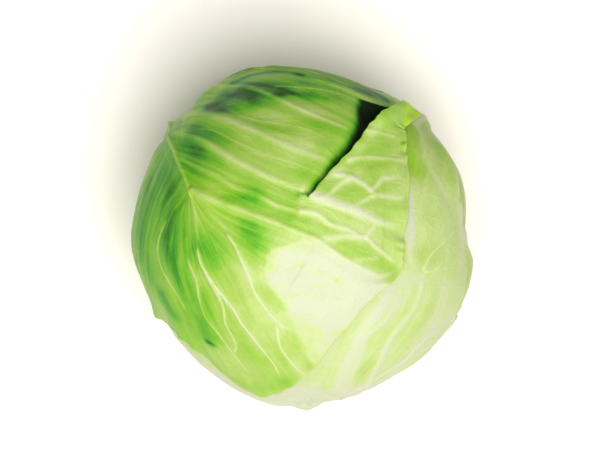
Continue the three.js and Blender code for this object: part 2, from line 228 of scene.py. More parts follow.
PATCH_SPREAD = 1.475 * 0.6  # millimetres to a degree, and how soft the edge of a patch is


def patched(p, patches):
    """A sum of soft-edged patches, each of an amount, a width in degrees and the line that it lies along."""
    total = np.zeros(len(p))
    for amount, wide, *path in patches:
        far = nearest(drawn(path, 3), p)[0]
        total += amount * np.exp(-((far / (PATCH_SPREAD * wide)) ** 2))
    return total


# The open end of the tear: a hollow between the leaves, cut off by the fold over the rim and pointed at
# its tip.
HOLLOW = np.array(
    [[22, 57], [20.5, 48.5], [19.5, 41.5], [16.8, 35], [13.6, 30], [10.5, 25.5], [7.2, 20.5], [4, 16.5]]
    + [[1, 14.3], [6, 15], [14, 20], [22, 27], [30, 36], [38, 46], [46, 58], [40, 64], [26, 64]]
)
HOLLOW_DEEP = 7.5
HOLLOW_RIM = 5  # its slope starts this far outside the outline
HOLLOW_SLOPE = 11
FOLD = [[-10, 66], [4, 63.5], [17.3, 58.5], [23.9, 55.2], [30.7, 54.4], [38.1, 55], [60, 62]]
FOLD_SLOPE = 7


def hollow(p):
    """Depth of the hollow, and in millimetres how far a place is within it and below the fold."""
    inwards = depth_in(HOLLOW, p)
    far, _, side = nearest(drawn(FOLD, 3), p)
    below = -far * side
    deep = HOLLOW_DEEP * smooth((inwards + HOLLOW_RIM) / HOLLOW_SLOPE)
    return deep * smooth(below / FOLD_SLOPE + 0.1), inwards, below


# Low swells and dips of the shoulder: height in millimetres, width in degrees, and where they lie.
LUMPS = [
    (-3.2, 14, [-2, 88], [16, 84], [30, 78]),
    (2.6, 11, [-32, 80], [-44, 70]),
    (-2.4, 10, [-76, 64], [-66, 55], [-60, 50]),
]


def under(above, p):
    """How far the leaves above push the one below inwards at p, and how free it is to show its own
    relief."""
    level = patched(p, LUMPS) - hollow(p)[0]
    free = np.ones(len(p))
    for blade in above:
        inwards = depth_in(blade.margin, p)
        level -= smooth((inwards + TENT_FAR) / (TENT_FAR - TENT_NEAR)) * (
            BLADE + GAP + PRESSED_RIB * blade.midrib(p)
        )
        free *= 1 - smooth((inwards + PRESS_FAR) / (PRESS_FAR - TENT_NEAR))
    return level, free


FAR_OFF = 40.0
NO_RIB = 9.0
FINE_RIB = 1.1  # ribs of a smaller half width are finer than the mesh
RIB_REACH = 16  # degrees round a rib in which it is looked for
CREASE_REACH = 30
CREASE_WIDE = 17
FLANK_WIDE = 3.5
NARROWED = 0.5  # shares of its width, paleness and height that a rib loses by its end
FADED = 0.35
SUNK = 0.55


def ribs_at(ribs, p):
    """What ribs do at each place. Broad ones give a soft paleness. Ribs finer than the mesh give their own
    paleness, the distance over their half width, signed by side so that they stay unbroken lines, and how
    far outside them the place is in millimetres. All give pale flanks, height, and the distance to the
    nearest."""
    soft, flank, high, pale = (np.zeros(len(p)) for _ in range(4))
    across = np.full(len(p), NO_RIB)
    outside, close = np.full(len(p), FAR_OFF), np.full(len(p), FAR_OFF)
    for half, tall, crease, strong, *path in ribs:
        line = drawn(path)
        reach = CREASE_REACH if crease else RIB_REACH
        low, top = line.min(0) - reach, line.max(0) + reach
        hit = np.flatnonzero(((p > low) & (p < top)).all(1))
        if not len(hit):
            continue
        far, where, side = nearest(line, p[hit])
        s = where / (len(line) - 1)
        wide = half * (1 - NARROWED * s)
        q = far / wide
        ends = smooth((1 - s) * 7) * smooth(s * 12)
        light = strong * (1 - FADED * s) * ends
        high[hit] += 0.8 * tall * (1 - SUNK * s) * np.exp(-(q**2) / 1.6) * ends
        high[hit] += crease * np.exp(-far / CREASE_WIDE) * smooth(s * 3) * smooth((1 - s) * 3)
        flank[hit] = np.maximum(flank[hit], light * np.exp(-far / FLANK_WIDE))
        close[hit] = np.minimum(close[hit], far)
        if half >= FINE_RIB:
            soft[hit] = np.maximum(soft[hit], light * np.exp(-((far / np.maximum(wide, 0.9)) ** 2)))
        else:
            took = q < np.abs(across[hit])
            across[hit[took]] = (q * side)[took]
            pale[hit[took]] = light[took]
            outside[hit] = np.minimum(outside[hit], np.maximum(far - 1.3 * wide, 0))
    return soft, flank, high, pale, across, outside, close


def ripple(p, size, seed):
    """Soft random swells of about one size in millimetres, from -1 to 1."""
    spots = unit(p) * MEAN_GIRTH / size + seed
    return np.array([noise.noise(Vector(spot)) for spot in spots])


def sheet(bm, number, us, ts):
    """A grid that lies flat for now. Each point keeps its column, its step and the number of its sheet."""
    made = bmesh.ops.create_grid(bm, x_segments=len(us) - 1, y_segments=len(ts) - 1, size=0.5)
    column, step, part = (bm.verts.layers.float[name] for name in ("column", "step", "part"))
    for v in made["verts"]:
        v[column] = us[round((v.co.x + 0.5) * (len(us) - 1))]
        v[step] = ts[round((v.co.y + 0.5) * (len(ts) - 1))]
        v[part] = number


def read(mesh, name):
    values = np.zeros(len(mesh.vertices), np.float32)
    mesh.attributes[name].data.foreach_get("value", values)
    return values.astype(float)


def to_mesh(bm, name):
    mesh = bpy.data.meshes.new(name)
    bm.to_mesh(mesh)
    bm.free()
    return mesh


def rounded(mesh, places):
    """Moves the points of a mesh to places in millimetres and shades it smooth."""
    mesh.vertices.foreach_set("co", (places * MM).astype(np.float32).ravel())
    shade_smooth(mesh)


def shade_smooth(mesh):
    mesh.polygons.foreach_set("use_smooth", np.ones(len(mesh.polygons), bool))
    mesh.update()


def add(name, data):
    """Stands a mesh, lamp or camera in the scene."""
    made = bpy.data.objects.new(name, data)
    bpy.context.scene.collection.objects.link(made)
    return made


QUILT_HIGH = 0.8  # swell of the blade between its ribs, reached this far from them
QUILT_REACH = 7
SWELL_HIGH = 0.55  # height and size of random swells, broad and small
SWELL_WIDE = 22
PUCKER_HIGH = 0.22
PUCKER_WIDE = 8
MARGIN_LIFT = 0.8
LIFT_REACH = 14
FRILL_HIGH = 0.5
FRILL_REACH = 7
FLANK_PALE = 0.2
# The hollow and the fold also place the painted shade of the hollow in the finish.
MARK_REACH = 8  # distances from the hollow and the fold are kept up to here
BLADE_THICK = 1.1
THIN_MARGIN = 45  # thickness at the margin in hundredths, and how far in it is full
TAPER = 9


def leaf(name, blade, above, sheets, ribs, patches, green, seed, warm=None, shape=None, shared=()):
    """Lays the sheets of a leaf on the head, with its ribs and folds, and gives the blade its thickness.
    green and warm give its colour by place, shape tears and lifts it, and shared holds the columns where
    two sheets of the leaf are one."""
    bm = bmesh.new()
    for layer in ("column", "step", "part"):
        bm.verts.layers.float.new(layer)
    for number, us, ts in sheets:
        sheet(bm, number, us, ts)
    column, step = bm.verts.layers.float["column"], bm.verts.layers.float["step"]
    joined = [v for v in bm.verts if v[step] == 0 or v[column] in shared]
    flat = place(blade.net, [v[column] for v in bm.verts], [v[step] for v in bm.verts])
    for v, (x, y) in zip(bm.verts, flat):
        v.co = (x, y, 0)
    bmesh.ops.remove_doubles(bm, verts=joined, dist=1e-3)
    mesh = to_mesh(bm, name)
    u, t, part = (read(mesh, layer) for layer in ("column", "step", "part"))
    p = place(blade.net, u, t)
    lift = np.zeros(len(p))
    keep = np.ones(len(p))
    if shape:
        p, lift, keep = shape(p, u, t, part)
    level, free = under(above, p) if above else (np.zeros(len(p)), np.ones(len(p)))
    inwards = np.abs(depth_in(blade.margin, p))
    _, within, below = hollow(p)
    soft, flank, high, pale, across, outside, close = ribs_at(ribs, p)
    quilt = QUILT_HIGH * (1 - np.exp(-((close / QUILT_REACH) ** 2)))
    swell = SWELL_HIGH * ripple(p, SWELL_WIDE, seed) + PUCKER_HIGH * ripple(p, PUCKER_WIDE, seed + 5)
    edge = MARGIN_LIFT * smooth(1 - inwards / LIFT_REACH) * (1 + np.sin(u * 4.1 + seed))
    frill = FRILL_HIGH * smooth(1 - inwards / FRILL_REACH) * np.sin(u * 11 + seed + 2 * np.sin(u * 3.1))
    outer = level + lift + free * keep * (blade.midrib(p) + high + quilt + swell + edge + frill)
    rounded(mesh, on_head(p, outer))
    kept = {
        "soft": soft,
        "rib": across,
        "outside": outside,
        "pale": pale,
        "green": green(p) + patched(p, patches) - FLANK_PALE * flank,
        "warm": warm(p) if warm else np.zeros(len(p)),
        # within and below place the painted shade of the hollow; the loose side of the tear gets none.
        "within": np.clip(np.where(part == 1, -MARK_REACH, within), -MARK_REACH, MARK_REACH),
        "below": np.clip(below, -MARK_REACH, MARK_REACH),
        "inwards": inwards,
    }
    for label, values in kept.items():
        mesh.attributes.new(label, "FLOAT", "POINT").data.foreach_set("value", values.astype(np.float32))
    lay = mesh.attributes.new("lay", "FLOAT_VECTOR", "POINT")
    lay.data.foreach_set("vector", np.column_stack([u, t, part]).astype(np.float32).ravel())
    made = add(name, mesh)
    thin = made.vertex_groups.new(name="thickness")
    full = THIN_MARGIN + (100 - THIN_MARGIN) * smooth(inwards / TAPER)
    for weight in range(THIN_MARGIN, 101, 5):
        alike = np.flatnonzero(np.abs(full - weight) <= 2.5)
        thin.add(alike.tolist(), weight / 100, "REPLACE")
    wall = made.modifiers.new("wall", "SOLIDIFY")
    wall.thickness = BLADE_THICK * MM
    wall.offset = -1
    wall.vertex_group = "thickness"
    return made


def linear(red, green, blue):
    """A colour given as it looks, 0 to 255, as the amounts of light that shaders take."""
    c = np.array([red, green, blue]) / 255
    return (*np.where(c <= 0.04045, c / 12.92, ((c + 0.055) / 1.055) ** 2.4), 1)


class Wire:
    """A value that runs through a finish. Arithmetic on it adds Math nodes, and node() any other node."""

    def __init__(self, tree, socket=None):
        self.tree = tree
        self.socket = socket

    def node(self, kind, settings, values, result=0):
        made = self.tree.nodes.new("ShaderNode" + kind)
        for name, value in settings.items():
            if name == "stops":
                ramp = made.color_ramp.elements
                while len(ramp) < len(value):
                    ramp.new(1)
                for stop, (position, colour) in zip(ramp, value):
                    stop.position = position
                    stop.color = colour
            else:
                setattr(made, name, value)
        for name, value in values.items():
            if isinstance(value, Wire):
                self.tree.links.new(value.socket, made.inputs[name])
            else:
                made.inputs[name].default_value = value
        return Wire(self.tree, made.outputs[result])

    def maths(self, operation, first, second=0.0):
        return self.node("Math", {"operation": operation}, {0: first, 1: second})

    def __add__(self, other):
        return self.maths("ADD", self, other)

    __radd__ = __add__

    def __sub__(self, other):
        return self.maths("SUBTRACT", self, other)

    def __rsub__(self, other):
        return self.maths("SUBTRACT", other, self)

    def __mul__(self, other):
        return self.maths("MULTIPLY", self, other)

    __rmul__ = __mul__

    def __abs__(self):
        return self.maths("ABSOLUTE", self)

    def between(self, low, high):
        """0 below low, 1 above high and a soft step between."""
        settings = {"interpolation_type": "SMOOTHSTEP"}
        return self.node("MapRange", settings, {"Value": self, "From Min": low, "From Max": high})

    def blend(self, first, second):
        """first where this is 0, second where it is 1."""
        return self.node("Mix", {"data_type": "RGBA"}, {0: self, 6: first, 7: second}, 2)

    def feeds(self, socket):
        self.tree.links.new(self.socket, socket)

    def relief(self, strength, distance):
        return self.node("Bump", {}, {"Strength": strength, "Distance": distance, "Height": self})

    def veins(self, scale, wide):
        """A net of lines, 1 at their middle."""
        settings = {"feature": "DISTANCE_TO_EDGE"}
        cells = self.node("TexVoronoi", settings, {"Vector": self, "Scale": scale})
        return 1 - cells.between(0.0, wide)

    def scaled(self, size):
        return self.node("VectorMath", {"operation": "MULTIPLY"}, {0: self, 1: size})

    def cloud(self, scale, detail=2.0):
        return self.node("TexNoise", {}, {"Vector": self, "Scale": scale, "Detail": detail})


def new_finish(name):
    """A material, the sockets of its shader, and the place in the mesh, where its patterns start."""
    made = bpy.data.materials.new(name)
    made.use_nodes = True
    sockets = made.node_tree.nodes["Principled BSDF"].inputs
    return made, sockets, Wire(made.node_tree).node("TexCoord", {}, {}, "Object")


# Greens of a leaf from its palest to its deepest, and where each lies between 0 and 1.
GREENS = [
    (0, linear(196, 201, 168)),
    (0.07, linear(193, 204, 146)),
    (0.17, linear(185, 202, 128)),
    (0.34, linear(160, 190, 85)),
    (0.5, linear(134, 182, 57)),
    (0.64, linear(106, 173, 40)),
    (0.8, linear(68, 146, 36)),
    (1, linear(36, 88, 14)),
]
DEEPEST = 0.8  # where a shade of 1 lies
RIB_CREAM = linear(226, 234, 182)
LIME = linear(166, 206, 12)
MARGIN_RIM_YELLOW = linear(196, 214, 84)
# Near-black green painted in the hollow of the tear and on the leaves seen through it: painted shade.
HOLLOW_SHADE_COLOUR = linear(18, 34, 12)
STREAKS = (4.6, 0.55, 3)  # how often streaks and hairs come across the ribs, along them and by sheet
HAIRS = (14, 1.1, 5)
WANDER = (0.012, 0.012, 0.012)


def leaf_finish(name, wax):
    """Waxy leaf: green that runs from pale to deep with soft streaks along the ribs, pale ribs with lighter
    flanks, and the fine net of veins between them. In the hollow of the tear the blade is painted near
    black, as shade."""
    made, skin, spot = new_finish(name)
    soft, rib, outside, pale, green, warm, within, below, inwards = (
        spot.node("Attribute", {"attribute_name": label}, {}, "Fac")
        for label in ("soft", "rib", "outside", "pale", "green", "warm", "within", "below", "inwards")
    )
    # Painted shade: within the hollow of the tear and below the fold the green is made deeper, then near
    # black.
    painted_hollow_shade = within.between(-4.5, 5.0) * below.between(0.0, 1.2)
    lay = spot.node("Attribute", {"attribute_name": "lay"}, {}, "Vector")
    streak = lay.scaled(STREAKS).cloud(1.0, 6.0)
    hairs = lay.scaled(HAIRS).cloud(1.0, 2.0)
    patchy = spot.cloud(120.0, 3.0)
    mottle = spot.cloud(34.0, 4.0)
    speckle = spot.cloud(420.0, 2.0)
    wander = spot.node("TexNoise", {}, {"Vector": spot, "Scale": 60.0}, "Color")
    bent = spot.node("VectorMath", {"operation": "MULTIPLY_ADD"}, {0: wander, 1: WANDER, 2: spot})
    net = bent.veins(130.0, 0.1)
    fine_net = bent.veins(380.0, 0.12)
    gate = 1 - outside.between(0.5, 1.3)
    fine = (1 - abs(rib).between(0.15, 1.3)) * gate * pale
    line = soft.maths("MAXIMUM", soft, fine)
    along = lay.node("SeparateXYZ", {}, {"Vector": lay}, 1)
    vivid = (0.25 + green.between(0.2, 0.65) * 0.6) * (1 - along.between(1.8, 4.2) * 0.5)
    streaked = (streak - 0.5 + (hairs - 0.5) * 0.22) * vivid
    clouded = green + painted_hollow_shade * 0.7 + streaked + (mottle - 0.5) * 0.25 + (patchy - 0.5) * 0.25
    shade = clouded + (speckle - 0.5) * 0.05 - line * 0.5 - net * 0.03 - fine_net * 0.02
    depth = shade * DEEPEST
    blade = depth.node("ValToRGB", {"stops": GREENS}, {0: depth})
    ribbed = (line * 0.12).blend(blade, RIB_CREAM)
    warmed = (warm * (0.65 + streak * 0.55)).blend(ribbed, LIME)
    # A thin yellower rim within about 2 mm of each margin, stronger where the leaf is warm.
    tip = (1 - inwards.between(0.3, 1.8)) * 0.25
    edged = (tip * (1 + warm)).blend(warmed, MARGIN_RIM_YELLOW)
    # The painted shade of the hollow goes over all the other colours.
    painted_hollow_shade.between(0.3, 0.95).blend(edged, HOLLOW_SHADE_COLOUR).feeds(skin["Base Color"])
    height = line * 0.5 + net * 0.16 + fine_net * 0.05 + speckle * 0.15
    height.relief(0.5, 0.8 * MM).feeds(skin["Normal"])
    gloss = wax + (mottle - 0.5) * 0.16 + line * 0.06 + (speckle - 0.5) * 0.06 + painted_hollow_shade * 0.5 + warm * 0.25
    gloss.feeds(skin["Roughness"])
    skin["Specular IOR Level"].default_value = 0.13
    skin["Subsurface Weight"].default_value = 0.08
    skin["Subsurface Radius"].default_value = (0.6, 1.0, 0.2)
    skin["Subsurface Scale"].default_value = 3 * MM
    return made


# The blade as a net of places: a row for each rib, from one side of the foot round the tip to the other,
# and in it the steps from the midrib out to the margin.
LEAF_1 = np.array(
    [
        [at(140, 166), at(134, 166), at(126, 165.5)] + [at(117, 165)] * 4,
        [at(140, 144), at(128, 145), at(117, 144)] + [at(107, 142)] * 4,
        [at(139.7, 122), at(122, 122), at(106, 115)] + [at(92, 106)] * 4,
        [at(139.5, 104), at(116, 103), at(90, 93)] + [at(60, 85)] * 4,
        [at(139.3, 97), at(119, 96), at(93, 73), at(57, 61), at(54.5, 59), at(51, 60), at(48, 61)],
        [at(139.2, 91), [-52, 78], [-12, 54], [23, 37.5], [28.5, 37.5], [33.5, 38], [38, 38]],
        [at(138.5, 84), [-42, 53], [-12, 35], [14.5, 26], [22, 26], [31, 28], [38, 29]],
        [at(142.5, 70), [-38, 37], [-15.5, 23], [1.9, 13.7], [12.4, 10.1], [23.5, 6.5], [36, 4.5]],
        [at(147.5, 57.5), [-29, 21.5], [-15.3, 15], [-2, 9.5], [8, 6], [20, 0.5], [34.5, -4]],
        [[-40, 18], [-26.2, 10.3], [-12, 5], [2.7, -0.3], [13, -7], [24.8, -12], [33.5, -11.6]],
        [[-40, 18], [-28.4, 6.5], [-16, -1], [-6, -7], [4, -12], [14, -17], [23, -20.4]],
        [[-40, 18], [-32, 4], [-23.5, -5], [-17, -14], [-11, -25], [-4.5, -36], [2.6, -49]],
        [[-40, 18], [-36.5, 3], [-32, -11], [-26, -24], [-19, -36], [-13, -47], [-7, -61]],
        [[-40, 18], [-42, 6], [-42, -10], [-38, -26], [-33, -39], [-29, -51], [-25, -66]],
        [[-40, 18], [-49, 10], [-54, -4], [-55, -16], [-52, -26], [-49, -36], [-47, -46]],
        [at(147.5, 57.5), [-56, 20], [-62, 5], [-66, -10], [-66, -22], [-65, -32], at(213, 76)],
        [at(142.5, 70), [-65, 31], [-72, 12], [-77, -6], [-79, -20], [-80, -31], at(207, 88)],
        [at(138.5, 84), at(150, 84), at(162, 87), at(174, 90), at(184, 93), at(194, 96), at(203, 98)],
        [at(139.2, 91), at(150, 93), at(161, 97), at(172, 100), at(182, 103), at(191, 106), at(199, 108)],
        [at(139.3, 97), at(149, 100), at(159, 104), at(169, 108), at(178, 111), at(187, 114),
            at(194.5, 117)],
        [at(139.5, 104), at(148, 107), at(157, 111), at(166, 115), at(174, 119), at(182, 123), at(189, 126)],
        [at(139.7, 122), at(147, 123), at(154, 126), at(161, 129), at(168, 132), at(175, 135), at(181, 138)],
        [at(140, 144), at(145, 145), at(151, 146), at(157, 147), at(162, 148), at(167, 149), at(172, 150)],
        [at(140, 166), at(144, 166), at(148, 166), at(152, 165.8), at(156, 165.5), at(160, 165.2),
            at(164, 165)],
    ]
)
# The loose side of the tear, from the corner lobe to the end of the tear. Steps 3 to 6 are the flap itself.
FLAP = np.array(
    [
        [at(139.5, 104), at(115, 100), [31, 48.6], [35.8, 49.5], [40.5, 50.4], [47.4, 53.7], [56.2, 57.2]],
        [at(139.3, 97), at(119, 96), [25, 44.5], [28.3, 43.3], [31.5, 42], [35, 42.2], [38.1, 41]],
        [at(139.2, 91), [-52, 78], [17.5, 38], [23, 37.5], [28.5, 37.5], [33.5, 38], [38, 38]],
        [at(138.5, 84), [-42, 53], [7, 26.5], [14.5, 26], [22, 26], [31, 28], [38, 29]],
        LEAF_1[7],
    ]
)
FLAP_LIFT = 10
FLAP_SINK = 0.7  # share of its lift that the flap loses by its own margin
FLAP_STEPS = 3
CORNER_FOLD = 3.5
TUCK = 4
SLIT = 1.2
CREST_RISE = 0.6
STEP_BACK = 0.2

# Short shallow creases that cross the palest part. Along them the green is also painted deeper, as shade in
# the creases.
CREASES = [
    [[-9.8, -9.2], [-5.6, -9.5], [-2.3, -8.8], [0.3, -8.4], [3.2, -9.8]],
    [[5.2, -10.4], [8.4, -11.5], [12.5, -14.9]],
    [[-4, -19], [2, -18.4], [8, -20.5], [14, -19]],
]

# Half width and height of each rib in millimetres, the crease along it, how pale it is, and its line.
RIBS_1 = [
    (1.7, 1.7, 0, 0.6, at(140, 166), at(140, 144), at(139.5, 104), at(139, 88), [-68, 58.5]),
    (1.3, 2.2, 0, 0.75, [-69, 62], [-68, 58.5], [-59, 46], [-50.5, 35.5], [-44.5, 26], [-40.5, 19],
        [-37, 10]),
    (1.6, 0.9, 0.8, 0.65, [-66, 60], [-52, 73.5], [-27, 63.5], [-8.5, 50.5], [1, 45], [12.5, 40.5],
        [17.5, 38.5]),
    (1.1, 0.7, 0, 0.3, [21, 36.5], [26, 36.5], [30, 36.5], [34, 36.7]),
    (2.4, 1, 1.1, 0.5, [-65, 62], [-32.5, 46], [-17.5, 37.5], [-8, 32], [1, 28.5], [11.5, 25.5]),
    (1.3, 0.7, 0, 0.4, [14.5, 26], [20, 27.5], [29, 28], [39, 28]),
    (2.4, 1.2, 1.2, 0.6, [-56, 46], [-36.5, 36], [-24.5, 27.5], [-15, 22], [-6, 18], [1.5, 16]),
    (3.2, 1.3, 0.7, 0.9, [-1.5, 15], [2.2, 14.3], [5.2, 13.3], [9.1, 12], [15.7, 9.8], [20.8, 7.9],
        [26.2, 5.6], [35, 3.6]),
    (1.1, 0.9, 0.7, 0.35, [-48, 32], [-38, 26], [-28, 21], [-22, 17], [-14.5, 14.5], [-7.5, 10.5], [3, 8.4]),
    (1.4, 0.7, 0.3, 0.6, [-2, 9], [3.2, 8.4], [5.8, 7.4], [9, 4.8], [14.6, 3.2], [20, 0.5]),
    (2.2, 1.2, 2.2, 0.55, [-40, 18], [-36, 15.5], [-24.2, 11], [-15.4, 7.5], [-8.8, 5.2], [-3.9, 3.2],
        [1, 1.2], [6, -0.5]),
    (1.3, 0.9, 1.5, 0.5, [1, 1.2], [5.1, -0.4], [9, -3.3], [14, -6.6], [19.8, -9.6], [26.2, -12.2],
        [32, -11]),
    (1.2, 0.7, 0, 0.55, [5.8, 0], [10.7, 0.6], [15.6, 0.9], [21.2, 0.3], [24, -2.1], [28.7, -5.8],
        [32, -8.6]),
    (1.2, 0.6, 0.5, 0.25, [-39.5, 18], [-36, 14], [-28, 6.5], [-21.5, -2.5], [-18, -10]),
    (1, 0.8, 0.5, 0.6, [-25, 2.5], [-21.5, -2.5], [-18.5, -10], [-15, -19], [-9, -27.5], [-2.6, -32]),
    (1.1, 0.6, 0.5, 0.25, [-40, 17], [-37.5, 10.5], [-36, 1], [-34.5, -9], [-29.5, -17]),
    (0.9, 0.8, 0.5, 0.85, [-36, -2], [-34.5, -9], [-29.5, -17], [-24, -24], [-21, -30], [-16, -37],
        [-10.5, -46], [-8, -55]),
    (0.9, 0.7, 0, 0.7, [-50, 8], [-56, -3], [-55, -12], [-50, -19], [-46.5, -25], [-45.5, -28.5]),
    (1, 0.7, 0, 0.6, [-41, -6], [-37.5, -15.5], [-37.5, -21.5], [-35.5, -29.5], [-30.5, -36.5],
        [-25.5, -45.5], [-20, -56]),
    (1, 0.6, 0, 0.65, [-34, -11], [-28, -22.5], [-27.5, -30.5], [-24.5, -39], [-25.8, -44]),
    (0.9, 0.5, 0, 0.5, [-8.6, -29.5], [-7.6, -38], [-2.3, -47.4], [2, -51]),
    (0.9, 0.8, 0, 0.35, [-64.5, 62.5], [-44.5, 53.5], [-37, 51], [-31, 55]),
    (1.2, 0.6, 0, 0.85, [9, 21.5], [16, 20.3], [19.6, 18.6], [23, 16.7], [25.6, 18.5], [28.3, 20.8],
        [36, 21.7]),
    (1.1, 0.6, 0, 0.75, [22, 17], [24, 15.1], [28.6, 14.6], [36, 14.2]),
    (1.1, 0.5, 0, 0.6, [25.5, 15], [20.8, 12.9], [16, 10]),
    (1.4, 0.6, 0, 0.65, [17, 20.9], [12.4, 17.9], [8.4, 14.2], [4, 12.8]),
    (1.1, 0.5, 0, 0.5, [20.5, 0.3], [23.3, 3.6], [25.2, 6.6]),
    (1.1, 0.4, 0, 0.5, [15, -8], [19.7, -6.6], [26, -6.4]),
    (0.9, 0.9, 0.9, 0.3, [-40, 70], [-26, 78], [-14, 76], [-5.3, 72.9], [11.7, 65.2], [24.1, 60.8],
        [36, 59]),
    (1.2, 1.4, 0, 0.4, [4, 65], [17.3, 60], [23.9, 56.6], [30.7, 55.8], [38.1, 56.5]),
    (0.8, 0.8, 0.7, 0.55, [-31, 86.5], [-11.5, 71], [-3, 67.5], [5, 63], [13.5, 60], [23.8, 56], [33, 53.5]),
    (0.8, 0.8, 0.9, 0.6, [-12, 58], [-0.8, 56.8], [9, 56.6], [19.6, 54.3], [26.6, 51.5], [34, 49.6]),
    (0.7, 0.6, 0.3, 0.2, [-60, 62], [-46, 64], [-30, 60], [-16, 58], [-4, 52], [8, 48]),
    (0.7, 0.6, 0.3, 0.25, [-58, 56], [-42, 48], [-26, 46], [-14, 41], [0, 38], [10, 34]),
    (0.7, 0.6, 0.3, 0.25, [-52, 42], [-36, 41], [-22, 33], [-10, 27], [2, 23], [8, 20.5]),
    (0.6, 0.5, 0, 0.2, [-40, 18], [-32, 16], [-24, 15], [-17, 11.5], [-8, 8]),
    (0.6, 0.5, 0, 0.2, [-40, 17], [-34, 8], [-30, 0], [-26, -10], [-22, -18]),
    (0.6, 0.5, 0, 0.2, [-40, 16], [-39, 4], [-37, -4], [-33, -14]),
    (0.6, 0.5, 0, 0.2, [-42, 14], [-45, 4], [-46, -8], [-43, -20], [-40, -32]),
    (0.6, 0.5, 0, 0.2, [-44, 20], [-52, 12], [-60, 2], [-62, -10], [-60, -22]),
    *[(0.5, -0.5, 0, 0, *path) for path in CREASES],
]


FORK_FROM = 0.55
FORK_WIDE = 0.38


def fan(net, columns, first, last, half, strong):
    """Side ribs along the columns of a net, each with a fork near its end."""
    made = []
    middle = first + FORK_FROM * (last - first)
    share = np.linspace(0, 1, 4)
    for u in columns:
        made.append((half, 0.8, 0.4, strong, *place(net, u, np.linspace(first, last, 6))))
        fork = place(net, u + FORK_WIDE * share, middle + share * (last - middle))
        made.append((0.6 * half, 0.4, 0, 0.8 * strong, *fork))
    return made


RIBS_1 += fan(LEAF_1, (1, 2, 3, 4), 0.1, 2.9, 1.1, 0.25)
RIBS_1 += fan(LEAF_1, range(15, 23), 0.1, 5.7, 1.0, 0.2)

